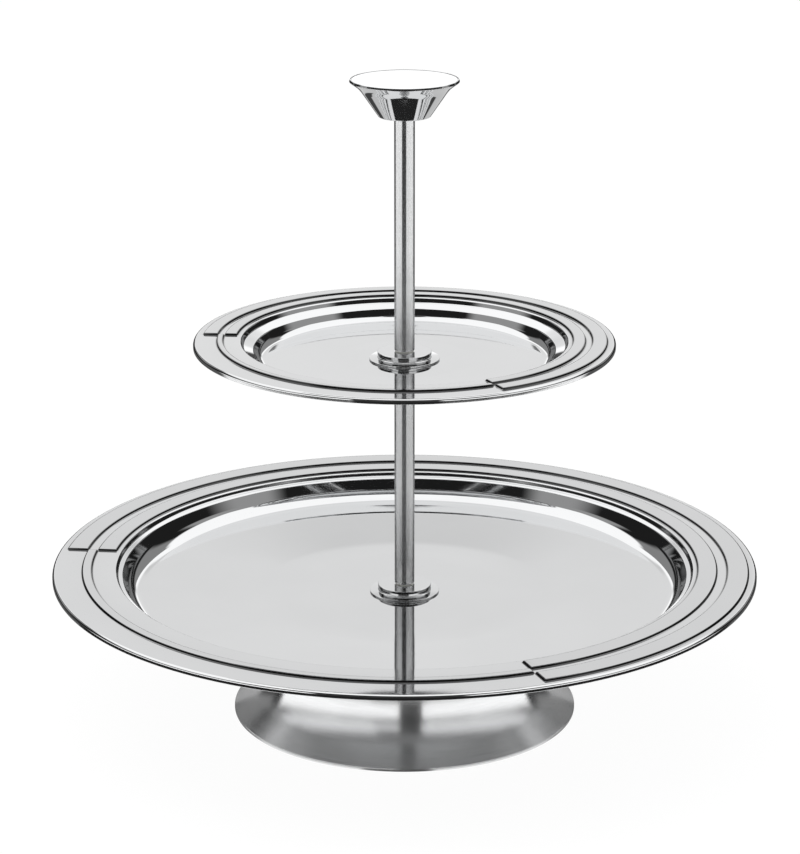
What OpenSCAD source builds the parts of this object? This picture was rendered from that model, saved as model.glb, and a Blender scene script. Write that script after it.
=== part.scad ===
// Two-tier cake stand in stainless steel: a spun foot, two embossed trays, two screwed
// tube columns with flared rosettes, and a cone knob. Millimetres, +Z up.
// The origin is the centre of the foot on the table.

/* [Stand] */
// Height from the lower tray's floor to the upper tray's floor
tier_gap = 110.4; // [90:0.2:150]
// Height of the upper column's tube
upper_column_h = 105.1; // [80:0.1:150]

/* [Foot] */
// Diameter of the foot on the table
foot_d = 157.2; // [140:0.2:190]
// Diameter of the foot's neck
foot_neck_d = 118; // [100:1:130]
// Height of the foot
foot_h = 54.2; // [46:0.1:70]
// Height of the upright hem at the foot's edge
foot_hem_h = 1.3; // [0.8:0.1:3]
// Height at which the flare would meet the neck if it were not rounded
foot_flare_h = 14; // [10:0.5:24]
// Radius of the foot's trumpet flare
foot_flare_r = 42; // [20:1:42]
// Radius of the shoulder at the foot's top
foot_shoulder_r = 5; // [2:0.5:8]
// Thickness of the foot's sheet
foot_sheet = 1; // [0.8:0.1:1.5]
// Diameter of the stiffening disc under the foot's top
stiffener_d = 84; // [50:1:94]
// Thickness of the stiffening disc
stiffener_t = 1.5; // [1:0.1:3]
// Diameter of the threaded boss
boss_d = 16; // [12:0.5:24]
// Diameter of the gasket between the foot and the lower tray
foot_gasket_d = 104; // [60:1:106]
// Diameter of the hole in that gasket
foot_gasket_hole_d = 30; // [20:1:50]
// Thickness of both gaskets
gasket_t = 0.5; // [0.3:0.1:1]

/* [Lower tray] */
// Diameter of the lower tray
lower_d = 320; // [300:1:360]
// Depth of the lower tray's well below its rim
lower_depth = 14.4; // [13:0.1:18]
// Distance from the lower tray's edge to its lip
lower_rim_w = 28.8; // [26:0.1:34]
// Distance from the lip to the outside of the stacking ledge
lower_lip_run = 0.7; // [0.5:0.1:4]
// Width of the stacking ledge
lower_ledge_w = 2.2; // [1:0.1:4]
// Height of the stacking ledge above the floor
lower_ledge_h = 11.9; // [8:0.1:12.4]
// Rise of the ledge towards the lip
lower_ledge_rise = 0.5; // [0.3:0.1:1.6]
// Distance from the ledge to the foot of the well's wall
lower_wall_run = 4.2; // [2:0.1:12]
// Radius of the cove between the floor and the wall
lower_cove_r = 9; // [4:0.5:14]
// Rise of the floor from its flat middle to the foot of the wall
lower_dish_rise = 2.8; // [0.5:0.1:4]
// How far the floor's flat middle reaches past the foot's neck
lower_flat_reach = 1; // [0.5:0.5:8]
// Distance from the edge to the outer raised band
lower_margin_w = 3.8; // [3:0.1:6]
// Width of the outer raised band
lower_outer_band_w = 9.5; // [6:0.1:10]
// Width of the channel between the bands
lower_channel_w = 4.7; // [3:0.1:6]
// Width of the inner raised band
lower_inner_band_w = 8.6; // [5:0.1:9]
// Where the single ridge starts, counted from +X
lower_ridge_from = 174.5; // [0:0.5:359]
// How far the single ridge runs round the rim
lower_ridge_arc = 117; // [60:1:180]

/* [Upper tray] */
// Diameter of the upper tray
upper_d = 188.4; // [176:0.2:240]
// Depth of the upper tray's well below its rim
upper_depth = 9.3; // [8.5:0.1:14]
// Distance from the upper tray's edge to its lip
upper_rim_w = 21.2; // [20:0.1:26]
// Distance from the lip to the outside of the stacking ledge
upper_lip_run = 1.1; // [0.8:0.1:4]
// Width of the stacking ledge
upper_ledge_w = 4.5; // [1:0.1:6]
// Height of the stacking ledge above the floor
upper_ledge_h = 5.4; // [3:0.1:6]
// Rise of the ledge towards the lip
upper_ledge_rise = 1.6; // [0.3:0.1:2.4]
// Distance from the ledge to the foot of the well's wall
upper_wall_run = 2.6; // [2:0.1:8]
// Radius of the cove between the floor and the wall
upper_cove_r = 7; // [3:0.5:9]
// Rise of the floor from its flat middle to the foot of the wall
upper_dish_rise = 0.3; // [0.1:0.1:1]
// How far the floor's flat middle reaches past the seat under it
upper_flat_reach = 18; // [4:1:24]
// Distance from the edge to the outer raised band
upper_margin_w = 3.8; // [3:0.1:5]
// Width of the outer raised band
upper_outer_band_w = 6.6; // [4:0.1:7]
// Width of the channel between the bands
upper_channel_w = 3.1; // [2:0.1:4]
// Width of the inner raised band
upper_inner_band_w = 5.5; // [3:0.1:6]
// Where the single ridge starts, counted from +X
upper_ridge_from = 176; // [0:0.5:359]
// How far the single ridge runs round the rim
upper_ridge_arc = 121; // [60:1:180]

/* [Tray sheet] */
// Thickness of the trays' sheet
tray_sheet = 0.8; // [0.6:0.05:1]
// Height of the embossed bands
relief_h = 0.9; // [0.2:0.05:1.1]
// How far the single ridge is narrower on each side than the channel it continues
ridge_inset = 0.2; // [0.1:0.05:0.3]
// Depth of the turned-down edge
edge_drop = 2.4; // [1.8:0.1:4]
// Radius of the turned-down edge
edge_r = 1.6; // [1.2:0.1:1.7]
// Radius of the lip where the well starts
lip_r = 0.9; // [0.3:0.1:1]
// Radius of the ledge's corners
ledge_r = 0.9; // [0.3:0.1:1]
// Radius of the bend where the floor's flat middle ends
dish_r = 360; // [50:10:400]

/* [Rosettes] */
// Diameter of the rosette on the tray
rosette_d = 31.6; // [28:0.2:36]
// Diameter of the rosette's top disc
rosette_disc_d = 24.2; // [20:0.2:26]
// Height of the rosette
rosette_h = 3.7; // [3:0.1:6]
// Height of the rosette's outer edge
rosette_edge_h = 0.7; // [0.3:0.1:0.8]
// Thickness of the top disc
rosette_disc_t = 1.2; // [0.6:0.1:1.4]
// How far the disc stands over the flare
rosette_undercut = 0.4; // [0.2:0.1:0.8]
// Radius of the flare
rosette_flare_r = 1.6; // [0.5:0.1:1.6]

/* [Columns] */
// Outer diameter of the tubes
tube_d = 9.1; // [8.6:0.1:12]
// Wall of the tubes
tube_wall = 1; // [0.8:0.05:1.2]
// Chamfer on the ends of the tubes
tube_chamfer = 0.3; // [0.1:0.05:0.5]
// Diameter of the threaded studs
stud_d = 5; // [4:0.1:5.4]
// Radial running clearance of the thread
thread_clear = 0.05; // [0.02:0.01:0.1]
// Radial clearance of the studs in every plain hole
hole_clear = 0.3; // [0.2:0.05:0.6]
// Length of stud inside its female thread
thread_len = 9; // [8:0.5:14]
// Free thread beyond the end of each stud
thread_spare = 2; // [1:0.5:4]
// Length of stud held in its own insert
stud_hold_len = 8; // [6:0.5:12]
// Thickness of the nylon end washers
end_washer_t = 0.5; // [0.3:0.1:1]
// How far the end washers stay inside the tube's edge
end_washer_inset = 0.35; // [0.2:0.05:0.6]
// Diameter of the seat under the upper tray
tray_seat_d = 24; // [18:0.5:36]
// Thickness of the seat under the upper tray
tray_seat_t = 1.5; // [1:0.1:3]

/* [Knob] */
// Diameter of the knob's lip
knob_d = 48.2; // [42:0.2:60]
// Diameter of the knob's base
knob_base_d = 22.6; // [20:0.2:26]
// Height of the knob
knob_h = 16.6; // [15:0.1:24]
// Height of the steep part of the lip
knob_lip_h = 0.7; // [0.5:0.1:1]
// How far the cone's bend lies inside the lip
knob_bend_run = 4.2; // [3.4:0.1:6]
// How far the cone's bend lies below the lip
knob_bend_drop = 3.4; // [2.8:0.1:4]
// Radius of the cone's bend
knob_bend_r = 12; // [2:1:12]
// Radius at the knob's base
knob_base_r = 1; // [0.5:0.1:1.5]
// Thickness of the knob's shell
knob_sheet = 0.8; // [0.6:0.1:1]
// Thickness of the knob's cap
knob_cap_t = 1; // [0.6:0.1:1.2]
// How far the cap sits below the lip
knob_cap_sink = 0.2; // [0.1:0.05:0.4]
// Gap between the cap and the shell
knob_cap_gap = 0.1; // [0.05:0.05:0.2]
// Diameter of the core inside the knob
knob_core_d = 14; // [10:0.5:18]

/* [Hidden] */
$fn = 120;

// Segments in each rounded corner of a turned profile
corner_steps = 8;
// Share of a side that one rounded corner may take
corner_share = 0.97;
// Smallest corner radius inside a bent sheet
least_r = 0.05;
// Small overlap that joins the embossed bands to the sheet
weld = 0.1;
// How far a cut runs past the face it leaves
overcut = 1;
// Radius of the foot's edge above its hem
foot_edge_r = 0.3;
// Rise of the rosette's thin edge towards the flare
rosette_rise = 0.3;
// Radius on the edge of the rosette's disc
rosette_disc_r = 0.25;
// Chamfer on the tip of each stud
stud_tip = 0.5;

polished_steel = [0.86, 0.87, 0.88];
brushed_steel = [0.72, 0.73, 0.74];
zinc_steel = [0.6, 0.61, 0.6];
nylon = [0.9, 0.9, 0.86];

hole_r = stud_d / 2 + hole_clear;
thread_r = stud_d / 2 + thread_clear;
bore_r = tube_d / 2 - tube_wall;
boss_h = thread_len + thread_spare - foot_sheet - stiffener_t;
foot_plate_bottom = foot_h - foot_sheet;
stiffener_bottom = foot_plate_bottom - stiffener_t;

// Heights up the stack, from the table
lower_floor = foot_h + gasket_t + tray_sheet;
lower_rosette_top = lower_floor + rosette_h;
lower_tube_bottom = lower_rosette_top + end_washer_t;
upper_floor = lower_floor + tier_gap;
tray_seat_top = upper_floor - tray_sheet - gasket_t;
lower_tube_top = tray_seat_top - tray_seat_t;
upper_rosette_top = upper_floor + rosette_h;
upper_tube_bottom = upper_rosette_top + end_washer_t;
upper_tube_top = upper_tube_bottom + upper_column_h;
knob_bottom = upper_tube_top + end_washer_t;
knob_top = knob_bottom + knob_h;
knob_cap_bottom = knob_top - knob_cap_sink - knob_cap_t;

// Outer profile of the knob's cone, from the hole at its base to the lip
knob_cone = [
    [hole_r, knob_bottom, 0],
    [knob_base_d / 2, knob_bottom, knob_base_r],
    [knob_d / 2 - knob_bend_run, knob_top - knob_lip_h - knob_bend_drop, knob_bend_r],
    [knob_d / 2, knob_top - knob_lip_h, 0],
    [knob_d / 2, knob_top, 0]
];

// Ends of the three studs
lower_stud_bottom = foot_h - thread_len;
upper_stud_bottom = lower_tube_top - thread_len;
knob_stud_bottom = upper_tube_top - thread_len;
insert_len = stud_hold_len + thread_spare;
socket_len = thread_len + thread_spare;

function unit(v) = v / norm(v);
function right_of(a, b) = let (d = unit(b - a)) [d[1], -d[0]];
function flat(v) = [v[0], v[1]];

// The arc that rounds corner b between a and c, never longer than its two sides allow
function corner_arc(a, b, c, radius) =
    let (
        u = unit(a - b),
        v = unit(c - b),
        half = acos(max(-1, min(1, u * v))) / 2,
        reach = min(radius / tan(half), corner_share * norm(a - b), corner_share * norm(c - b)),
        r = reach * tan(half),
        centre = b + unit(u + v) * r / sin(half),
        p = b + u * reach - centre,
        q = b + v * reach - centre,
        start = atan2(p[1], p[0]),
        turn = atan2(q[1], q[0]) - start,
        sweep = turn > 180 ? turn - 360 : turn < -180 ? turn + 360 : turn
    )
    [for (i = [0:corner_steps])
        let (angle = start + sweep * i / corner_steps)
        centre + r * [cos(angle), sin(angle)]];

// A profile given as [radius, height, corner radius] points, with its corners rounded
function rounded(points) =
    [for (i = [0:len(points) - 1])
        let (p = points[i])
        each (i == 0 || i == len(points) - 1 || p[2] == 0)
            ? [flat(p)]
            : corner_arc(flat(points[i - 1]), flat(p), flat(points[i + 1]), p[2])];

// The same points moved to the right of their direction of travel, corner radii following
function moved(points, t) =
    let (last = len(points) - 1)
    [for (i = [0:last])
        let (
            b = flat(points[i]),
            before = i == 0 ? right_of(b, flat(points[1])) : right_of(flat(points[i - 1]), b),
            after = i == last ? before : right_of(b, flat(points[i + 1])),
            bend = cross(before, after),
            grow = bend > 0 ? t : -t,
            place = b + t * (before + after) / (1 + before * after)
        )
        [place[0], place[1], points[i][2] == 0 ? 0 : max(least_r, points[i][2] + grow)]];

function backwards(path) = [for (i = [len(path) - 1:-1:0]) path[i]];

// A sheet of thickness t under (t > 0) or over (t < 0) a rounded profile
module spun_sheet(points, t) {
    rotate_extrude()
        polygon(concat(rounded(points), backwards(rounded(moved(points, t)))));
}

module ring(outer_r, inner_r, bottom, height) {
    translate([0, 0, bottom])
        difference() {
            cylinder(r = outer_r, h = height);
            translate([0, 0, -overcut]) cylinder(r = inner_r, h = height + 2 * overcut);
        }
}

// A band of rectangular section that runs part of the way round
module arc_band(inner_r, width, bottom, height, from, arc) {
    rotate([0, 0, from])
        rotate_extrude(angle = arc)
            translate([inner_r, bottom]) square([width, height]);
}

// One embossed band: raised above the sheet, and hollow below by the same height
module raise_band(inner_r, width, rim_z, from, arc) {
    arc_band(inner_r, width, rim_z - weld, relief_h + weld, from, arc);
}

module hollow_band(inner_r, width, rim_z, from, arc) {
    trim = asin(tray_sheet / inner_r);
    arc_band(inner_r + tray_sheet, width - 2 * tray_sheet, rim_z - tray_sheet - overcut,
             overcut + relief_h, from + trim, arc - 2 * trim);
}

// A tray: flat middle, dished floor, cove, wall, stacking ledge, lip, flat rim, turned-down edge.
// The rim carries two wide raised bands, and one narrow ridge where they stop.
module tray(outer_r, floor_z, depth, rim_w, lip_run, ledge_w, ledge_h, ledge_rise,
            wall_run, cove_r, dish_rise, flat_r, margin_w, outer_band_w, channel_w,
            inner_band_w, ridge_from, ridge_arc) {
    lip = outer_r - rim_w;
    ledge_out = lip - lip_run;
    ledge_in = ledge_out - ledge_w;
    wall_foot = ledge_in - wall_run;
    rim_z = floor_z + depth;
    profile = [
        [hole_r, floor_z, 0],
        [flat_r, floor_z, dish_r],
        [wall_foot, floor_z + dish_rise, cove_r],
        [ledge_in, floor_z + ledge_h, ledge_r],
        [ledge_out, floor_z + ledge_h + ledge_rise, ledge_r],
        [lip, rim_z, lip_r],
        [outer_r, rim_z, edge_r],
        [outer_r, rim_z - edge_drop, 0]
    ];
    ridge_r = outer_r - margin_w - outer_band_w - channel_w;
    bands = [
        [ridge_r + channel_w, outer_band_w, ridge_from + ridge_arc, 360 - ridge_arc],
        [ridge_r - inner_band_w, inner_band_w, ridge_from + ridge_arc, 360 - ridge_arc],
        [ridge_r + ridge_inset, channel_w - 2 * ridge_inset, ridge_from, ridge_arc]
    ];
    difference() {
        union() {
            spun_sheet(profile, tray_sheet);
            for (b = bands) raise_band(b[0], b[1], rim_z, b[2], b[3]);
        }
        for (b = bands) hollow_band(b[0], b[1], rim_z, b[2], b[3]);
    }
}

// A turned washer: a flat disc over a flare that widens to a thin edge on the tray
module rosette(floor_z) {
    disc_r = rosette_disc_d / 2;
    neck_r = disc_r - rosette_undercut;
    disc_bottom = rosette_h - rosette_disc_t;
    outline = [
        [hole_r, 0, 0],
        [rosette_d / 2, 0, 0],
        [rosette_d / 2, rosette_edge_h, 0],
        [neck_r, rosette_edge_h + rosette_rise, rosette_flare_r],
        [neck_r, disc_bottom, 0],
        [disc_r, disc_bottom, 0],
        [disc_r, rosette_h, rosette_disc_r],
        [hole_r, rosette_h, 0]
    ];
    translate([0, 0, floor_z]) rotate_extrude() polygon(rounded(outline));
}

module tube(bottom, top) {
    r = tube_d / 2;
    outline = [
        [bore_r, bottom],
        [r - tube_chamfer, bottom],
        [r, bottom + tube_chamfer],
        [r, top - tube_chamfer],
        [r - tube_chamfer, top],
        [bore_r, top]
    ];
    rotate_extrude() polygon(outline);
}

module end_washer(bottom) {
    ring(tube_d / 2 - end_washer_inset, hole_r, bottom, end_washer_t);
}

module stud(bottom, top) {
    r = stud_d / 2;
    translate([0, 0, bottom]) cylinder(r1 = r - stud_tip, r2 = r, h = stud_tip);
    translate([0, 0, bottom + stud_tip]) cylinder(r = r, h = top - bottom - stud_tip);
}

module foot_shell() {
    flare = [
        [hole_r, foot_h, 0],
        [foot_neck_d / 2, foot_h, foot_shoulder_r],
        [foot_neck_d / 2, foot_flare_h, foot_flare_r],
        [foot_d / 2, foot_hem_h, foot_edge_r],
        [foot_d / 2, 0, 0]
    ];
    color(brushed_steel) spun_sheet(flare, foot_sheet);
}

module foot_stiffener() {
    color(zinc_steel) ring(stiffener_d / 2, hole_r, stiffener_bottom, stiffener_t);
}

module foot_boss() {
    color(zinc_steel) ring(boss_d / 2, thread_r, stiffener_bottom - boss_h, boss_h);
}

module foot_gasket() {
    color(nylon) ring(foot_gasket_d / 2, foot_gasket_hole_d / 2, foot_h, gasket_t);
}

module lower_tray() {
    color(polished_steel)
        tray(lower_d / 2, lower_floor, lower_depth, lower_rim_w, lower_lip_run, lower_ledge_w,
             lower_ledge_h, lower_ledge_rise, lower_wall_run, lower_cove_r, lower_dish_rise,
             foot_neck_d / 2 + lower_flat_reach, lower_margin_w, lower_outer_band_w,
             lower_channel_w, lower_inner_band_w, lower_ridge_from, lower_ridge_arc);
}

module lower_rosette() {
    color(polished_steel) rosette(lower_floor);
}

module lower_end_washer() {
    color(nylon) end_washer(lower_rosette_top);
}

module lower_column() {
    color(brushed_steel) tube(lower_tube_bottom, lower_tube_top);
}

module lower_bottom_insert() {
    color(zinc_steel) ring(bore_r, stud_d / 2, lower_tube_bottom, insert_len);
}

module lower_stud() {
    color(zinc_steel) stud(lower_stud_bottom, lower_tube_bottom + stud_hold_len);
}

module lower_top_insert() {
    color(zinc_steel) ring(bore_r, thread_r, lower_tube_top - socket_len, socket_len);
}

module tray_seat() {
    color(zinc_steel) ring(tray_seat_d / 2, hole_r, lower_tube_top, tray_seat_t);
}

module tray_gasket() {
    color(nylon) ring(tray_seat_d / 2, hole_r, tray_seat_top, gasket_t);
}

module upper_tray() {
    color(polished_steel)
        tray(upper_d / 2, upper_floor, upper_depth, upper_rim_w, upper_lip_run, upper_ledge_w,
             upper_ledge_h, upper_ledge_rise, upper_wall_run, upper_cove_r, upper_dish_rise,
             tray_seat_d / 2 + upper_flat_reach, upper_margin_w, upper_outer_band_w,
             upper_channel_w, upper_inner_band_w, upper_ridge_from, upper_ridge_arc);
}

module upper_rosette() {
    color(polished_steel) rosette(upper_floor);
}

module upper_end_washer() {
    color(nylon) end_washer(upper_rosette_top);
}

module upper_column() {
    color(brushed_steel) tube(upper_tube_bottom, upper_tube_top);
}

module upper_bottom_insert() {
    color(zinc_steel) ring(bore_r, stud_d / 2, upper_tube_bottom, insert_len);
}

module upper_stud() {
    color(zinc_steel) stud(upper_stud_bottom, upper_tube_bottom + stud_hold_len);
}

module upper_top_insert() {
    color(zinc_steel) ring(bore_r, thread_r, upper_tube_top - socket_len, socket_len);
}

module knob_washer() {
    color(nylon) end_washer(upper_tube_top);
}

module knob_shell() {
    color(polished_steel) spun_sheet(knob_cone, -knob_sheet);
}

// The cap drops into the lip, and its edge follows the slope of the shell below it
module knob_cap() {
    inner_corner = moved(knob_cone, -knob_sheet)[3];
    cap_top = knob_cap_bottom + knob_cap_t;
    cap_r = inner_corner[0] - knob_cap_gap;
    slope_h = inner_corner[1] - knob_cap_bottom;
    slope_run = slope_h * knob_bend_run / knob_bend_drop;
    outline = [
        [0, knob_cap_bottom],
        [cap_r - slope_run, knob_cap_bottom],
        [cap_r, inner_corner[1]],
        [cap_r, cap_top],
        [0, cap_top]
    ];
    color(polished_steel) rotate_extrude() polygon(outline);
}

module knob_core() {
    floor_z = knob_bottom + knob_sheet;
    color(zinc_steel) ring(knob_core_d / 2, stud_d / 2, floor_z, knob_cap_bottom - floor_z);
}

module knob_stud() {
    color(zinc_steel) stud(knob_stud_bottom, knob_bottom + knob_sheet + stud_hold_len);
}

foot_shell();
foot_stiffener();
foot_boss();
foot_gasket();
lower_tray();
lower_rosette();
lower_end_washer();
lower_column();
lower_bottom_insert();
lower_stud();
lower_top_insert();
tray_seat();
tray_gasket();
upper_tray();
upper_rosette();
upper_end_washer();
upper_column();
upper_bottom_insert();
upper_stud();
upper_top_insert();
knob_washer();
knob_shell();
knob_cap();
knob_core();
knob_stud();
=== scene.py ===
"""Two-tier stainless-steel cake stand: the looks of every piece, and a plain studio around it.

Each piece is a turned, spun or pressed surface round the upright axis of the stand. Its lengths
are written in millimetres, and become metres when its mesh is made. Those of the table, the
cards and the camera are in metres. The front of the stand faces -Y.
"""
import bpy
import numpy as np
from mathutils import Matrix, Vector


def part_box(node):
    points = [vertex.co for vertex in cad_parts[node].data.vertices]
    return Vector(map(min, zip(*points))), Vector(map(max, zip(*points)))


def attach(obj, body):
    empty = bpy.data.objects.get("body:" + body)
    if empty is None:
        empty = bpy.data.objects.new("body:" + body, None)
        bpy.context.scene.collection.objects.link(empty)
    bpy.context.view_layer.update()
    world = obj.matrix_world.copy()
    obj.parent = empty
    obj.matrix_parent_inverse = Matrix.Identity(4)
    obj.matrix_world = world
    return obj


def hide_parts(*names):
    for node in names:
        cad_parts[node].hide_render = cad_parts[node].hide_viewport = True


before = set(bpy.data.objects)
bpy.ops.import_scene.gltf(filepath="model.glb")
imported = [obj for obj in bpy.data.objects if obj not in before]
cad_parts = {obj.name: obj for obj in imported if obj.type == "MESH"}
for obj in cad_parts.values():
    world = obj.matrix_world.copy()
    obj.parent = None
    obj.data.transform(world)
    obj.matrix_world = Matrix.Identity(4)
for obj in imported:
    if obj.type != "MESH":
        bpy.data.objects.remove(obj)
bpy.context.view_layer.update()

# ---------------------------------------------------------------- foot shell
# The foot is spun from 1 mm sheet: a flat top, a rounded shoulder, an upright neck that opens
# into a trumpet flare, and an upright hem on the table. It is satin brushed round the axis.
mm = 0.001


def rounded(corners, closed=True, arc_degrees=6.0):
    """A smooth profile through corners given as (radius, height, corner radius).

    Each corner becomes the arc of its radius that touches both of its sides. The arc starts and
    ends radius / tan(half the angle between the sides) from the corner. It takes at most half of
    a side, or 98 % of it where the side's other corner is sharp. Returns the points and the unit
    direction of travel at each point."""
    corners = np.array(corners, float)
    count = len(corners)
    points, travel = [], []
    for i, (r, z, radius) in enumerate(corners):
        here = np.array((r, z))
        if not closed and i in (0, count - 1):
            step = corners[1, :2] - here if i == 0 else here - corners[i - 1, :2]
            points.append(here[None])
            travel.append(step[None] / np.linalg.norm(step))
            continue
        back = corners[i - 1, :2] - here
        ahead = corners[(i + 1) % count, :2] - here
        back_len, ahead_len = np.linalg.norm(back), np.linalg.norm(ahead)
        back, ahead = back / back_len, ahead / ahead_len
        half = np.arccos(np.clip(back @ ahead, -1, 1)) / 2
        bend = np.pi - 2 * half
        if radius == 0 or bend < 1e-3:
            points.append(here[None])
            travel.append(((ahead - back) / np.linalg.norm(ahead - back))[None])
            continue
        share_back = 0.5 if corners[i - 1, 2] else 0.98
        share_ahead = 0.5 if corners[(i + 1) % count, 2] else 0.98
        reach = min(radius / np.tan(half), share_back * back_len, share_ahead * ahead_len)
        radius = reach * np.tan(half)
        steps = max(3, int(np.ceil(np.degrees(bend) / arc_degrees)))
        angle = np.linspace(0, bend, steps + 1)[:, None]
        side = np.array((back[1], -back[0]))
        side = side if side @ ahead > 0 else -side
        points.append(here + back * reach + radius * (side * (1 - np.cos(angle))
                                                      - back * np.sin(angle)))
        travel.append(side * np.sin(angle) - back * np.cos(angle))
    return np.concatenate(points), np.concatenate(travel)


def sheet(corners, thickness, edge=0.2):
    """The closed outline of a bent sheet: the given side, and back along its other side.

    The other side is the first one moved to the right of its direction of travel, with mitred
    corners. Outer corner radii grow and inner ones shrink by the thickness."""
    corners = np.array(corners, float)
    step = np.diff(corners[:, :2], axis=0)
    step /= np.linalg.norm(step, axis=1)[:, None]
    right = np.stack((step[:, 1], -step[:, 0]), 1)
    before, after = np.vstack((right[:1], right)), np.vstack((right, right[-1:]))
    mitre = (before + after) / (1 + (before * after).sum(1))[:, None]
    turn = before[:, 0] * after[:, 1] - before[:, 1] * after[:, 0]
    other = corners.copy()
    other[:, :2] += thickness * mitre
    grown = corners[:, 2] + np.sign(turn) * thickness
    other[:, 2] = np.where(corners[:, 2] > 0, np.maximum(grown, 0.05), 0)
    near, far = corners.copy(), other.copy()
    near[[0, -1], 2] = far[[0, -1], 2] = edge
    return np.vstack((near, far[::-1]))


def spin(name, profile, body, node, material, around=256, closed=True, shape=None):
    """A surface carried round the axis: point (r, z) of the profile at bearing a lies at
    (r cos a, r sin a, z). Its normal is the profile's normal turned by a.

    shape(r, z, a) may add a height to each point; the normal then follows that height's
    slope. An open profile starts and ends on the axis, where each end becomes one point."""
    points, travel = profile
    bearing = around if np.ndim(around) else np.linspace(0, 2 * np.pi, around, endpoint=False)
    r, z = points[:, :1], points[:, 1:]
    out = np.stack((np.cos(bearing), np.sin(bearing)), 1)
    side = np.stack((-out[:, 1], out[:, 0]), 1)
    lift = slope_out = slope_round = np.zeros((len(r), len(bearing)))
    if shape:
        a, tiny = bearing[None], 0.01
        turn = tiny / np.maximum(r, 1.0)
        lift = shape(r, z, a)
        slope_out = (shape(r + tiny, z, a) - shape(r - tiny, z, a)) / (2 * tiny)
        slope_round = (shape(r, z, a + turn) - shape(r, z, a - turn)) / (2 * tiny)
    flat = r[:, :, None] * out[None]
    place = np.concatenate((flat, (z + lift)[:, :, None]), 2) * mm
    t_r, t_z = travel[:, :1], travel[:, 1:]
    normal_flat = (-(t_z + slope_out * t_r)[:, :, None] * out[None]
                   - (t_r * slope_round)[:, :, None] * side[None])
    normal = np.concatenate((normal_flat, np.broadcast_to(t_r, lift.shape)[:, :, None]), 2)
    normal /= np.linalg.norm(normal, axis=2)[:, :, None]
    rows, columns = lift.shape
    i, j = np.meshgrid(np.arange(rows if closed else rows - 1), np.arange(columns), indexing="ij")
    down, over = (i + 1) % rows, (j + 1) % columns
    corner = np.stack((i * columns + j, down * columns + j, down * columns + over,
                       i * columns + over), 2).reshape(-1, 4)
    place, normal = place.reshape(-1, 3), normal.reshape(-1, 3)
    if closed:
        loops, sizes = corner.ravel(), np.full(len(corner), 4)
    else:
        first, middle, last = corner[:columns], corner[columns:-columns], corner[-columns:]
        first = np.stack((np.zeros(columns, int), first[:, 1], first[:, 2]), 1)
        last = np.stack((last[:, 0], np.full(columns, columns * (rows - 1)), last[:, 3]), 1)
        loops = np.concatenate((first.ravel(), middle.ravel(), last.ravel()))
        sizes = np.concatenate((np.full(columns, 3), np.full(len(middle), 4), np.full(columns, 3)))
        used = np.unique(loops)
        renumber = np.zeros(len(place), int)
        renumber[used] = np.arange(len(used))
        loops, place, normal = renumber[loops], place[used], normal[used]
    return surface(name, place, normal, loops, sizes, body, node, material)


def surface(name, place, normal, loops, sizes, body, node, material):
    """Puts worked-out points and faces into a mesh, hangs it on its body, and hides the node's
    imported part.
    """
    mesh = bpy.data.meshes.new(name)
    mesh.vertices.add(len(place))
    mesh.vertices.foreach_set("co", place.ravel())
    mesh.loops.add(len(loops))
    mesh.loops.foreach_set("vertex_index", loops.astype(np.int32))
    mesh.polygons.add(len(sizes))
    mesh.polygons.foreach_set("loop_start", (np.cumsum(sizes) - sizes).astype(np.int32))
    mesh.polygons.foreach_set("loop_total", sizes.astype(np.int32))
    mesh.update(calc_edges=True)
    mesh.polygons.foreach_set("use_smooth", np.ones(len(sizes), bool))
    mesh.normals_split_custom_set_from_vertices(normal)
    mesh.materials.append(material)
    piece = bpy.data.objects.new(name, mesh)
    bpy.context.scene.collection.objects.link(piece)
    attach(piece, body)
    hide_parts(node)
    return piece


class Shade:
    """A socket in a shader. Arithmetic on it adds Math nodes, and add() makes any other node."""

    def __init__(self, tree, socket=None):
        self.tree, self.socket = tree, socket

    def add(self, kind, settings=None, values=None, out=0):
        """Makes a node: its settings are set first, then its sockets get a value or a link."""
        made = self.tree.nodes.new("ShaderNode" + kind)
        for key, value in (settings or {}).items():
            if key == "stops":
                ramp = made.color_ramp
                while len(ramp.elements) < len(value):
                    ramp.elements.new(1.0)
                for element, (at, level) in zip(ramp.elements, value):
                    element.position = at
                    element.color = (level, level, level, 1)
            else:
                setattr(made, key, value)
        for key, value in (values or {}).items():
            if isinstance(value, Shade):
                self.tree.links.new(value.socket, made.inputs[key])
            else:
                made.inputs[key].default_value = value
        return Shade(self.tree, made.outputs[out] if made.outputs else None)

    def other(self, out):
        """Another output of the same node."""
        return Shade(self.tree, self.socket.node.outputs[out])

    def math(self, operation, *others):
        return self.add("Math", {"operation": operation}, dict(enumerate((self, *others))))

    def between(self, low, high, start=0.0, end=1.0):
        """Climbs smoothly from start, at low, to end, at high."""
        return self.add("MapRange", {"interpolation_type": "SMOOTHSTEP"},
                        {"Value": self, "From Min": low, "From Max": high,
                         "To Min": start, "To Max": end})

    def __add__(self, other):
        return self.math("ADD", other)

    def __sub__(self, other):
        return self.math("SUBTRACT", other)

    def __mul__(self, other):
        return self.math("MULTIPLY", other)

    def __truediv__(self, other):
        return self.math("DIVIDE", other)

    def __rsub__(self, other):
        return self.add("Math", {"operation": "SUBTRACT"}, {0: other, 1: self})


def empty_material(name):
    """A new material with an empty shader: the material, and the shader's start."""
    material = bpy.data.materials.new(name)
    material.use_nodes = True
    material.node_tree.nodes.clear()
    return material, Shade(material.node_tree)


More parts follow.
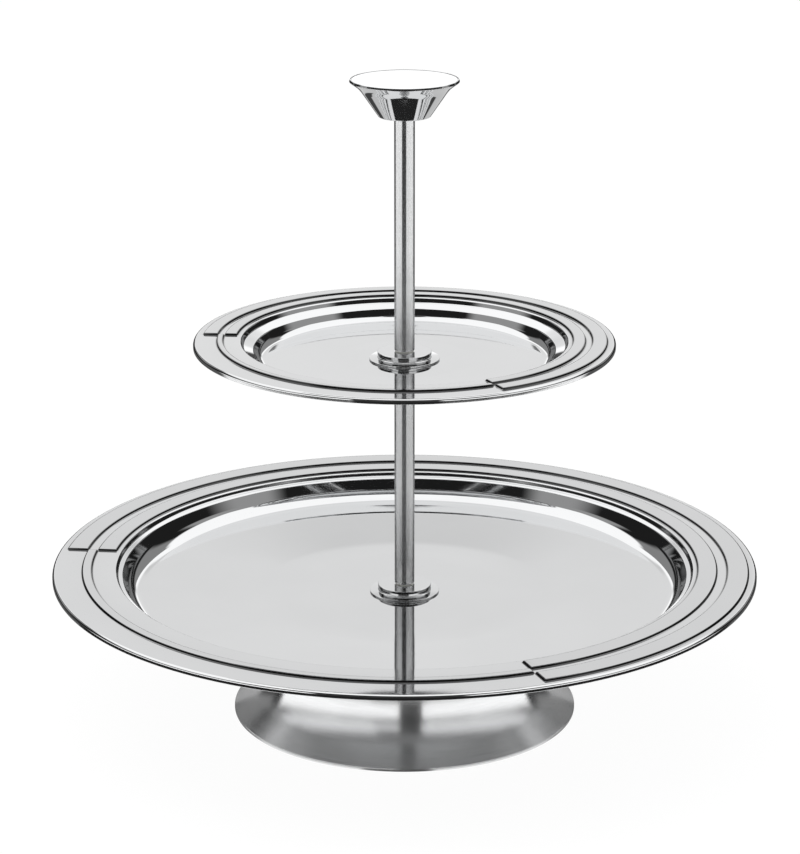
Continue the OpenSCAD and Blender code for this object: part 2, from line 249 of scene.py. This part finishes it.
def steel(name, tint, variation, roughness, bump=None, constants=None):
    """A metal whose colour is a tint, three levels, times a variation.

    The variation, the roughness and the bump's height are functions of the shader's start.
    The bump comes with its depth in metres, and constants are values of other sockets."""
    material, start = empty_material(name)
    level = variation(start)
    values = {
        "Metallic": 1.0,
        "Roughness": roughness(start),
        "Base Color": start.add("CombineColor", None, {
            "Red": level * tint[0], "Green": level * tint[1], "Blue": level * tint[2]}),
        **(constants or {})}
    if bump:
        height, depth = bump
        values["Normal"] = start.add("Bump", None, {
            "Height": height(start), "Distance": depth, "Strength": 1.0})
    start.add("OutputMaterial", None, {"Surface": start.add("BsdfPrincipled", None, values)})
    return material


def where(start):
    """The place on the piece in metres: x, y, z, and r, the distance from the axis."""
    x = start.add("SeparateXYZ", None, {"Vector": start.add("TexCoord", out="Object")})
    y, z = x.other("Y"), x.other("Z")
    return x, y, z, (x * x + y * y).math("SQRT")


def noise(start, scale, detail=2.0, rough=0.5, vector=None):
    """Smooth noise from 0 to 1, at the place on the piece or at another vector."""
    return start.add("TexNoise", None, {
        "Vector": vector or start.add("TexCoord", out="Object"), "Scale": scale,
        "Detail": detail, "Roughness": rough})


def brush_lines(start, fine=4000.0, along=6.0):
    """Fine lines round the axis: noise that changes fast along the profile (height less
    radius) and slowly round the axis, where it follows the unit vector of the bearing."""
    x, y, z, r = where(start)
    vector = start.add("CombineXYZ", None, {"X": x / r * along, "Y": y / r * along,
                                            "Z": (z - r) * fine})
    return noise(start, 1.0, 3.0, 0.6, vector)


def foot_brushing_and_hem_shade(start):
    """Brushed lines, times painted shade that darkens the colour by up to a quarter down at the
    hem.
    """
    _, _, z, _ = where(start)
    return brush_lines(start).between(0.3, 0.7, 0.95, 1.0) * z.between(0.0, 0.016, 0.75, 1.0)


def box_mm(node):
    """The low and the high corner of a node's box, in millimetres."""
    return [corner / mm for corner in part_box(node)]


foot_low, foot_high = box_mm("foot_shell")
stud_hole_r = 2.8
foot_sheet = 1.0
foot_neck_r = 59.0
foot_hem_h = 1.3
foot_flare_h = 14.0
foot_profile = [
    (stud_hole_r, foot_high.z, 0.2),
    (foot_neck_r, foot_high.z, 5.0),
    (foot_neck_r, foot_flare_h, 42.0),
    (foot_high.x, foot_hem_h, 0.35),
    (foot_high.x, foot_low.z, 0.2)]
foot_satin = steel(
    "satin_foot_steel", (0.8, 0.805, 0.81), foot_brushing_and_hem_shade,
    lambda s: brush_lines(s, 2500.0, 3.0).between(0.3, 0.7, 0.2, 0.26),
    (brush_lines, 0.000001), {"Anisotropic": 0.85, "Anisotropic Rotation": 0.25})
spin("foot", rounded(sheet(foot_profile, foot_sheet), arc_degrees=3.0), "foot", "foot_shell",
     foot_satin, around=288)

# ------------------------------------------------------- stiffener and boss
# Under the foot's top a flat disc spreads the clamping load, and a turned, threaded boss takes
# the lower stud. Both are zinc plated mild steel, welded to the foot.
stiffener_r = 42.0
boss_r = 8.0
thread_r = 2.55
zinc = steel(
    "zinc_plating", (0.62, 0.63, 0.62),
    lambda s: noise(s, 90.0, 3.0).between(0.25, 0.75, 0.88, 1.0),
    lambda s: noise(s, 400.0).between(0.3, 0.7, 0.32, 0.45),
    (lambda s: noise(s, 900.0), 0.00001))


def washer(name, node, inner_r, outer_r, body, material, edge=0.15, around=128):
    """A flat ring with rounded edges, between the heights of its node's box."""
    low, high = box_mm(node)
    outline = [(inner_r, high.z, edge), (outer_r, high.z, edge), (outer_r, low.z, edge),
               (inner_r, low.z, edge)]
    spin(name, rounded(outline, arc_degrees=15.0), body, node, material, around)


washer("stiffening_disc", "foot_stiffener", stud_hole_r, stiffener_r, "foot",
       zinc, edge=0.3, around=192)
washer("threaded_boss", "foot_boss", thread_r, boss_r, "foot", zinc, edge=0.6)

# -------------------------------------------------------------- foot gasket
# A thin ring of natural nylon lies between the foot's top and the lower tray. It keeps the
# polished steel from scratching, and lets the tray turn while the column is loose.
gasket_bore_r = 15.0
gasket_r = 52.0


def nylon_material():
    """Milky nylon: a plain plastic with a faint mottle and a soft gloss."""
    material, start = empty_material("natural_nylon")
    mottle = noise(start, 300.0).between(0.3, 0.7, 0.93, 1.0)
    colour = start.add("CombineColor", None, {
        "Red": mottle * 0.86, "Green": mottle * 0.86, "Blue": mottle * 0.81})
    shader = start.add("BsdfPrincipled", None, {
        "Base Color": colour, "Roughness": noise(start, 700.0).between(0.3, 0.7, 0.4, 0.55),
        "IOR": 1.53})
    start.add("OutputMaterial", None, {"Surface": shader})
    return material


nylon = nylon_material()
washer("foot_gasket_ring", "foot_gasket", gasket_bore_r, gasket_r, "foot", nylon,
       edge=0.12, around=192)

# ---------------------------------------------------------------- the trays
# Each tray is pressed from 0.8 mm sheet and mirror polished: a flat floor, a coved wall, a
# stacking ledge, and a flat rim with a turned-down edge. The rim is embossed with two wide
# bands, and where they stop, one narrow ridge runs on in line with the channel between them.
tray_sheet = 0.8
relief = 0.9
ridge_inset = 0.2
band_end_gap = 0.3


def climb(distance, width=0.36, shoulder=0.6, share=0.12):
    """A step from 0 to 1, centred on distance 0, as a pressed edge: a gentle rise, the step, and
    a gentle rise again.

    Each gentle rise is a parabola of the shoulder's width that takes its share of the height,
    flat at its far end. The step takes the rest of the height across its own width, with an
    even slope that grows and fades as a parabola over its first and last sixth."""
    t = np.clip(distance / width + 0.5, 0, 1)
    soft = 1 / 6
    start = t ** 2 / (2 * soft * (1 - soft))
    end = 1 - (1 - t) ** 2 / (2 * soft * (1 - soft))
    step = np.where(t < soft, start, np.where(t > 1 - soft, end, (t - soft / 2) / (1 - soft)))
    before = np.clip(1 + (distance + width / 2) / shoulder, 0, 1)
    after = np.clip(1 - (distance - width / 2) / shoulder, 0, 1)
    return share * before ** 2 + (1 - 2 * share) * step + share * (1 - after ** 2)


def embossing(edges, rim_low, ridge_from, ridge_arc):
    """The height pressed into the rim at (r, z, a), as a function.

    A band between two radii is a step up at one and a step down at the other. The wide bands
    carry the sector outside the ridge's arc, the ridge the sector inside it; the distance
    from each end of the arc is measured round the circle."""
    outer, channel_out, channel_in, inner = edges
    start, stop = np.radians(ridge_from), np.radians(ridge_from + ridge_arc)
    middle, reach = (start + stop) / 2, (stop - start) / 2

    def shape(r, z, a):
        off = np.abs((a - middle + np.pi) % (2 * np.pi) - np.pi)
        past = (off - reach) * np.maximum(r, 1.0)
        wide, narrow = climb(past - band_end_gap), climb(-past - band_end_gap)
        bands = (climb(r - channel_out) - climb(r - outer)
                 + climb(r - inner) - climb(r - channel_in))
        ridge = climb(r - channel_in - ridge_inset) - climb(r - channel_out + ridge_inset)
        return np.where(z > rim_low, relief * (wide * bands + narrow * ridge), 0.0)

    return shape


def tray_tone_and_edge_shade(start):
    """Nearly even polish, with painted shade that darkens the pressed edges."""
    crease = start.add("Attribute", {"attribute_name": "crease"}, out="Fac")
    return noise(start, 25.0).between(0.3, 0.7, 0.98, 1.0) * (1 - crease * 0.85)


tray_polish = steel(
    "mirror_tray_steel", (0.7, 0.705, 0.71), tray_tone_and_edge_shade,
    lambda s: noise(s, 60.0, 3.0).between(0.3, 0.7, 0.03, 0.05))


def tray(name, node, body, sizes):
    """The pressed tray, from its sheet's outline and the embossing on its rim.

    The mesh has extra lines beside every pressed edge, so that the steps stay crisp. Shade is
    painted into those edges: a point attribute, 1.6 times the share of the relief's height that
    lies within 0.4 mm of a point, up to 1, makes the steel's colour darker there."""
    low, high = box_mm(node)
    floor, rim, r = low.z + tray_sheet, high.z - relief, high.x
    dish_r, bend_r, edge_r, edge_h = 360.0, 0.9, 1.6, 2.4
    lip = r - sizes["rim_w"]
    ledge_out = lip - sizes["lip_run"]
    ledge_in = ledge_out - sizes["ledge_w"]
    wall_foot = ledge_in - sizes["wall_run"]
    outer = r - sizes["margin_w"]
    channel_out = outer - sizes["outer_band_w"]
    channel_in = channel_out - sizes["channel_w"]
    inner = channel_in - sizes["inner_band_w"]
    beside = np.array([-0.78, -0.55, -0.35, -0.18, -0.15, -0.12,
                       0.12, 0.15, 0.18, 0.35, 0.55, 0.78])
    pressed = (outer, channel_out, channel_in, inner, channel_out - ridge_inset,
               channel_in + ridge_inset)
    rim_radii = np.unique(np.round(np.add.outer(pressed, beside), 3))
    ledge_z = floor + sizes["ledge_h"]
    top = [
        (stud_hole_r, floor, 0.15),
        (sizes["flat_r"], floor, dish_r),
        (wall_foot, floor + sizes["dish_rise"], sizes["cove_r"]),
        (ledge_in, ledge_z, bend_r),
        (ledge_out, ledge_z + sizes["ledge_rise"], bend_r),
        (lip, rim, bend_r),
        *((radius, rim, 0) for radius in rim_radii),
        (r, rim, edge_r),
        (r, rim - edge_h, 0.2)]
    bearing = np.linspace(0, 2 * np.pi, 216, endpoint=False)
    beside_end = np.concatenate((beside - band_end_gap, beside + band_end_gap)) / channel_in
    ends = np.radians([sizes["ridge_from"], sizes["ridge_from"] + sizes["ridge_arc"]])
    bearing = np.concatenate([bearing, *(beside_end + end for end in ends)])
    bearing = np.unique(bearing % (2 * np.pi))
    shape = embossing((outer, channel_out, channel_in, inner), rim - tray_sheet - 0.3,
                      sizes["ridge_from"], sizes["ridge_arc"])
    piece = spin(name, rounded(sheet(top, tray_sheet), arc_degrees=5.0), body, node,
                 tray_polish, bearing, shape=shape)
    place = np.empty(len(piece.data.vertices) * 3)
    piece.data.vertices.foreach_get("co", place)
    x, y, z = place.reshape(-1, 3).T / mm
    r, a, reach = np.hypot(x, y), np.arctan2(y, x), 0.4
    # Painted shade: the share of the relief near each point is stored on the mesh, to darken the
    # colour in the pressed edges.
    across = np.abs(shape(r + reach, z, a) - shape(r - reach, z, a))
    along = np.abs(shape(r, z, a + reach / r) - shape(r, z, a - reach / r))
    crease = np.clip(1.6 * np.maximum(across, along) / relief, 0, 1)
    piece.data.attributes.new("crease", "FLOAT", "POINT").data.foreach_set("value", crease)


tray("lower_pressed_tray", "lower_tray", "lower_tier", dict(
    rim_w=28.8, lip_run=0.7, ledge_w=2.2, ledge_h=11.9, ledge_rise=0.5, wall_run=4.2, cove_r=9.0,
    dish_rise=2.8, flat_r=60.0, margin_w=3.8, outer_band_w=9.5, channel_w=4.7, inner_band_w=8.6,
    ridge_from=174.5, ridge_arc=117.0))
tray("upper_pressed_tray", "upper_tray", "upper_tier", dict(
    rim_w=21.2, lip_run=1.1, ledge_w=4.5, ledge_h=5.4, ledge_rise=1.6, wall_run=2.6, cove_r=7.0,
    dish_rise=0.3, flat_r=30.0, margin_w=3.8, outer_band_w=6.6, channel_w=3.1, inner_band_w=5.5,
    ridge_from=176.0, ridge_arc=121.0))

# ------------------------------------------------------------- the rosettes
# A turned washer stands on each tray's floor round the column: a thin outer edge, a flare, and
# a disc that overhangs it a little. They are turned from bar and polished.
rosette_polish = steel(
    "polished_rosette_steel", (0.71, 0.715, 0.72),
    lambda s: brush_lines(s, 9000.0, 2.0).between(0.2, 0.8, 0.97, 1.0),
    lambda s: brush_lines(s, 5000.0, 2.0).between(0.3, 0.7, 0.05, 0.08))


def rosette(name, node, body):
    """The turned washer, standing on the bottom of its node's box."""
    low, high = box_mm(node)
    disc_r, disc_t, neck_r, edge_h, flare_r = 12.1, 1.2, 11.7, 0.7, 1.6
    outline = [
        (stud_hole_r, high.z, 0.1),
        (disc_r, high.z, 0.25),
        (disc_r, high.z - disc_t, 0.12),
        (neck_r, high.z - disc_t, 0.1),
        (neck_r, low.z + edge_h + 0.3, flare_r),
        (high.x, low.z + edge_h, 0.12),
        (high.x, low.z, 0.25),
        (stud_hole_r, low.z, 0.1)]
    spin(name, rounded(outline), body, node, rosette_polish)


rosette("lower_flared_rosette", "lower_rosette", "lower_tier")
rosette("upper_flared_rosette", "upper_rosette", "upper_tier")

# ----------------------------------------------------------- the end washers
# A nylon washer lies under each tube and under the knob. It keeps metal from grinding on metal
# as the piece is screwed down.
end_washer_r = 4.2
for end, node in (("lower", "lower_end_washer"), ("upper", "upper_end_washer"),
                  ("knob", "knob_washer")):
    washer(end + "_thrust_washer", node, stud_hole_r, end_washer_r, end + "_joint_washer",
           nylon, edge=0.1, around=96)

# -------------------------------------------------------------- the columns
# Each column is a drawn tube, 9.1 mm across with a 1 mm wall, finely satined and chamfered at
# both ends. A plug is pressed into each end.
tube_satin = steel(
    "satin_tube_steel", (0.76, 0.765, 0.77),
    lambda s: brush_lines(s, 1500.0, 30.0).between(0.3, 0.7, 0.97, 1.0),
    lambda s: brush_lines(s, 2500.0, 30.0).between(0.3, 0.7, 0.23, 0.28),
    None, {"Anisotropic": 1.0, "Anisotropic Rotation": 0.25})


def column(name, node, body):
    """The tube between the heights of its node's box."""
    low, high = box_mm(node)
    wall, chamfer = 1.0, 0.3
    outer, bore = high.x, high.x - wall
    outline = [
        (bore, high.z, 0.05),
        (outer - chamfer, high.z, 0.08),
        (outer, high.z - chamfer, 0.2),
        (outer, low.z + chamfer, 0.2),
        (outer - chamfer, low.z, 0.08),
        (bore, low.z, 0.05)]
    spin(name, rounded(outline, arc_degrees=12.0), body, node, tube_satin, 160)


stud_seat_r = 2.5
plug_r = 3.55
for tier in ("lower", "upper"):
    column(tier + "_tube", tier + "_column", tier + "_post")
for tier, end, hole_r in (("lower", "bottom", stud_seat_r), ("upper", "bottom", stud_seat_r),
                          ("lower", "top", thread_r), ("upper", "top", thread_r)):
    plug = tier + "_" + end + "_insert"
    washer(plug + "_plug", plug, hole_r, plug_r, tier + "_post", zinc,
           edge=0.1, around=96)

# ---------------------------------------------------------------- the studs
# Rolled M5 studs with a coarse 0.8 mm thread screw the stack together. Each is fixed in the end
# of a tube or in the knob, and reaches down into the thread of the piece below.


def stud(name, node, body):
    """A threaded rod: at bearing a and height z its radius is a 60 degree tooth of the phase
    z / pitch - a / turn, rounded at root and crest, and held under a 45 degree tip cone."""
    low, high = box_mm(node)
    outer, depth, pitch, tip, around = 2.48, 0.43, 0.8, 0.5, 48
    height = np.append(np.arange(low.z, high.z, pitch / 10), high.z)
    bearing = np.linspace(0, 2 * np.pi, around, endpoint=False)
    phase = (height[:, None] / pitch - bearing[None] / (2 * np.pi)) % 1.0
    tooth = np.clip(2.4 * np.abs(phase - 0.5) - 0.1, 0, 1)
    cone = outer - tip + np.minimum(height - low.z, high.z - height)
    r = np.minimum(outer - depth * tooth, cone[:, None])
    flat = np.stack((r * np.cos(bearing), r * np.sin(bearing)), 2)
    place = np.concatenate((flat, np.broadcast_to(height[:, None, None], (*r.shape, 1))), 2)
    middles = [[0, 0, low.z], [0, 0, high.z]]
    place = np.vstack((place.reshape(-1, 3), middles)) * mm
    rows, columns = r.shape
    i, j = np.meshgrid(np.arange(rows - 1), np.arange(columns), indexing="ij")
    over = (j + 1) % columns
    walls = np.stack((i * columns + j, i * columns + over, (i + 1) * columns + over,
                      (i + 1) * columns + j), 2).reshape(-1, 4)
    j = np.arange(columns)
    over = (j + 1) % columns
    bottom = np.stack((np.full(columns, rows * columns), over, j), 1)
    top = np.stack((np.full(columns, rows * columns + 1), (rows - 1) * columns + j,
                    (rows - 1) * columns + over), 1)
    loops = np.concatenate((walls.ravel(), bottom.ravel(), top.ravel()))
    sizes = np.concatenate((np.full(len(walls), 4), np.full(2 * columns, 3)))
    face_normal = np.cross(place[walls[:, 2]] - place[walls[:, 0]],
                           place[walls[:, 3]] - place[walls[:, 1]])
    normal = np.zeros_like(place)
    for corner in range(4):
        np.add.at(normal, walls[:, corner], face_normal)
    normal[-2:] = ((0, 0, -1), (0, 0, 1))
    normal /= np.linalg.norm(normal, axis=1)[:, None]
    surface(name, place, normal, loops, sizes, body, node, zinc)


stud("lower_threaded_stud", "lower_stud", "lower_post")
stud("upper_threaded_stud", "upper_stud", "upper_post")
stud("knob_threaded_stud", "knob_stud", "knob")

# --------------------------------------------------------- seat and gasket
# The upper tray sits on a steel washer on top of the lower tube. A nylon washer between the two
# keeps its underside from scratching.
tray_seat_r = 12.0
washer("upper_tray_seat", "tray_seat", stud_hole_r, tray_seat_r, "lower_post",
       zinc, edge=0.25, around=160)
washer("upper_tray_gasket", "tray_gasket", stud_hole_r, tray_seat_r, "lower_post",
       nylon, edge=0.12, around=160)

# ----------------------------------------------------------------- the knob
# The knob is a spun cone that flares to a rounded lip, closed by a polished disc let into the
# lip. A turned core inside holds the stud.
knob_polish = steel(
    "mirror_knob_steel", (0.7, 0.705, 0.71),
    lambda s: noise(s, 60.0).between(0.3, 0.7, 0.98, 1.0),
    lambda s: noise(s, 120.0, 3.0).between(0.3, 0.7, 0.03, 0.05))
knob_low, knob_high = box_mm("knob_shell")
knob_r, knob_top = knob_high.x, knob_high.z
knob_sheet = 0.8
knob_foot_r = 11.3
knob_core_r = 7.0
knob_profile = [
    (knob_r - 0.9, knob_top, 0.0),
    (knob_r - 0.45, knob_top - 0.12, 0.1),
    (knob_r, knob_top - 1.0, 0.15),
    (knob_r - 4.2, knob_top - 4.1, 12.0),
    (knob_foot_r, knob_low.z, 1.0),
    (stud_hole_r, knob_low.z, 0.1)]
spin("knob_cone", rounded(sheet(knob_profile, knob_sheet, 0.15), arc_degrees=4.0), "knob",
     "knob_shell", knob_polish)
cap_low, cap_high = box_mm("knob_cap")
cap_profile = [
    (0, cap_high.z, 0),
    (cap_high.x, cap_high.z, 0.2),
    (cap_high.x, cap_low.z + 0.6, 0.1),
    (cap_high.x - 0.75, cap_low.z, 0.1),
    (0, cap_low.z, 0)]
spin("knob_disc", rounded(cap_profile, closed=False, arc_degrees=10.0), "knob", "knob_cap",
     knob_polish, closed=False)
washer("knob_turned_core", "knob_core", stud_seat_r, knob_core_r, "knob", zinc,
       edge=0.2, around=96)

# ---------------------------------------------------------------- the table
# A plain white table. The camera sees it nearly as bright as the background, with only the
# stand's soft shadow on it, and the steel reflects the studio's lights in its place.
table_mesh = bpy.data.meshes.new("table")
table_mesh.from_pydata([(-8, -8, 0), (8, -8, 0), (8, 8, 0), (-8, 8, 0)], [], [(0, 1, 2, 3)])
table_material, start = empty_material("white_table")
start.add("OutputMaterial", None, {"Surface": start.add("MixShader", None, {
    0: start.add("LightPath", out="Is Camera Ray") * 0.94,
    1: start.add("BsdfDiffuse", None, {"Color": (0.9, 0.9, 0.9, 1)}),
    2: start.add("Emission", None, {"Color": (1, 1, 1, 1), "Strength": 1.02})})})
table_mesh.materials.append(table_material)
table_top = bpy.data.objects.new("table", table_mesh)
bpy.context.scene.collection.objects.link(table_top)
table_top.visible_glossy = False

# ----------------------------------------------------- cards round the stand
# Low white and grey cards stand under the lower rim, with gaps towards the camera and the
# backdrop, and a small black bracket hangs over the stand. On the table lie the tray's shadow
# and two dark rings, where a white cover sheet ends.


def strip(name, near_row, far_row, level, fade=None):
    """A strip of even brightness between two rows of points, which only reflections show.

    With fade, it turns clear between two distances from the axis."""
    count = len(near_row)
    i = np.arange(count - 1)
    mesh = bpy.data.meshes.new(name)
    mesh.from_pydata(np.vstack((near_row, far_row)), [],
                     np.stack((i, i + 1, i + 1 + count, i + count), 1).tolist())
    material, start = empty_material(name)
    shader = start.add("Emission", None, {"Color": (1, 1, 1, 1), "Strength": level})
    if fade:
        _, _, _, r = where(start)
        shader = start.add("MixShader", None, {0: r.between(*fade), 1: shader,
                                               2: start.add("BsdfTransparent")})
    start.add("OutputMaterial", None, {"Surface": shader})
    mesh.materials.append(material)
    board = bpy.data.objects.new(name, mesh)
    bpy.context.scene.collection.objects.link(board)
    board.visible_camera = board.visible_diffuse = board.visible_shadow = False


def arc_row(first, last, distance, height, count):
    """Points round the axis, where bearing b from the camera's side lies at
    (distance sin b, -distance cos b)."""
    bearing = np.radians(np.linspace(first, last, count))
    return np.stack((distance * np.sin(bearing), -distance * np.cos(bearing),
                     np.full(count, height)), 1)


card_distance, card_height = 0.157, 0.054
for name, first, last, level in (
        ("right_white_card", 12, 102, 1.35), ("left_white_card", -102, -3.5, 1.35),
        ("right_grey_card", 128, 158, 0.5), ("left_grey_card", -158, -128, 0.5)):
    strip(name, arc_row(first, last, card_distance, 0.0, 60),
          arc_row(first, last, card_distance, card_height, 60), level)
bracket_reach, bracket_front, bracket_back, bracket_z = 0.11, -0.069, -0.015, 0.33
strip("bracket",
      [(-bracket_reach, bracket_front, bracket_z), (bracket_reach, bracket_front, bracket_z)],
      [(-bracket_reach, bracket_back, bracket_z), (bracket_reach, bracket_back, bracket_z)], 0.03)
ring_lift = 0.0002
for name, inner, outer, level, reach, fade in (
        ("tray_shadow", 0.08, 0.18, 0.3, 180, (0.115, 0.16)),
        ("near_dark_ring", 0.28, 0.47, 0.02, 112, None),
        ("far_dark_ring", 0.66, 0.75, 0.02, 112, None)):
    strip(name, arc_row(-reach, reach, inner, ring_lift, 96),
          arc_row(-reach, reach, outer, ring_lift, 96), level, fade)

# ---------------------------------------------------------- the room's light
# The room is a set of light and dark zones, which the steel reflects. Rise is in degrees over
# the horizon, bearing in degrees from the camera's side, and turn is bearing without its sign.
world = bpy.data.worlds.new("studio")
bpy.context.scene.world = world
world.use_nodes = True
world.node_tree.nodes.clear()
start = Shade(world.node_tree)
x = start.add("SeparateXYZ", None, {"Vector": start.add("TexCoord", out="Generated")})
y, z = x.other("Y"), x.other("Z")
rise = z.math("ARCSINE") * (180 / np.pi)
bearing = x.math("ARCTAN2", y * -1.0) * (180 / np.pi)
turn = bearing.math("ABSOLUTE")

# A tilted ceiling of light, lower over the backdrop than over the camera.
tilt = y.math("MAXIMUM", 0.0) * turn.between(158, 166) + y.math("MINIMUM", 0.0)
ceiling = (z + tilt * 0.35).between(0.53, 0.58)

# The white table and low white walls, lower towards the back, dark where the camera stands and
# at both sides behind the stand. Two slanted dark legs stand before them.
camera_gap = bearing.between(-30, -26) * bearing.between(17, 22, 1.0, 0.0)
above_low = rise + (turn - 50).math("MAXIMUM", 0.0) * 0.24
side_dark = turn.between(108, 118, 0.0, 0.92) * rise.between(-28, -20)
low_light = above_low.between(14, 19, 1.0, 0.0) * (1 - camera_gap * 0.95) * (1 - side_dark)
low_light = low_light * (1 - turn.between(104, 114) * rise.between(-28, -22, 0.5, 0.0))
left_leg = (bearing.between(-160, -156) * bearing.between(-138, -134, 1.0, 0.0)
            * rise.between(-46, -43) * rise.between(-27, -24, 1.0, 0.0))
right_leg = (bearing.between(114, 118) * bearing.between(130, 134, 1.0, 0.0)
             * rise.between(-54, -51) * rise.between(-45, -42, 1.0, 0.0))
low_light = low_light * (1 - (left_leg + right_leg) * 0.9)

# Dim grey walls to both sides, and behind the stand beside the backdrop.
side_walls = (turn.between(52, 64) * turn.between(106, 118, 0.28, 0.0) * rise.between(17, 22)
              + turn.between(128, 138, 0.0, 0.22) * rise.between(8.5, 11.5))
light = low_light.math("MAXIMUM", ceiling).math("MAXIMUM", side_walls).math("MAXIMUM", 0.012)

# The backdrop straight behind: dark at its foot, then a bright strip, then a pale grey sheet.
backdrop = turn.between(166, 171) * rise.between(-12, -8)
sheet_level = start.add("ValToRGB", {"stops": (
    (0.0, 0.05), (0.085, 0.06), (0.103, 1.0), (0.13, 1.0), (0.152, 0.72), (0.2, 0.69), (0.25, 0.68),
    (0.265, 0.6), (0.285, 0.57), (0.31, 0.98))}, {"Fac": rise / 90})
light = light * (1 - backdrop) + sheet_level * backdrop

# The camera itself sees plain white all round.
seen = start.add("LightPath", out="Is Camera Ray")
light = light * 1.35 * (1 - seen) + seen
start.add("OutputWorld", None, {"Surface": start.add("Background", None, {
    "Color": start.add("CombineColor", None, {"Red": light, "Green": light, "Blue": light}),
    "Strength": 1.0})})

# ------------------------------------------------------- softbox and camera
# A round softbox overhead, a little left and in front, throws the soft shadow on the table. The
# camera stands 1.25 m in front of the stand and 0.52 m up, and looks down on it.
softbox = bpy.data.lights.new("softbox", "AREA")
softbox.shape = "DISK"
softbox.size = 1.6
softbox.energy = 12.0
softbox_lamp = bpy.data.objects.new("softbox", softbox)
softbox_lamp.location = (-0.5, -0.3, 2.0)
softbox_lamp.rotation_euler = (np.radians(-9), np.radians(-14), 0)
softbox_lamp.visible_glossy = False
bpy.context.scene.collection.objects.link(softbox_lamp)

lens = bpy.data.cameras.new("camera")
lens.lens = 122.25
lens.sensor_width = 36.0
lens.shift_x = -0.0053
lens.clip_start = 0.05
view = bpy.data.objects.new("camera", lens)
view.location = (0.0, -1.248, 0.521)
view.rotation_euler = (np.radians(90 - 17.23), 0.0, 0.0)
bpy.context.scene.collection.objects.link(view)
bpy.context.scene.camera = view
bpy.context.scene.view_settings.view_transform = "Standard"
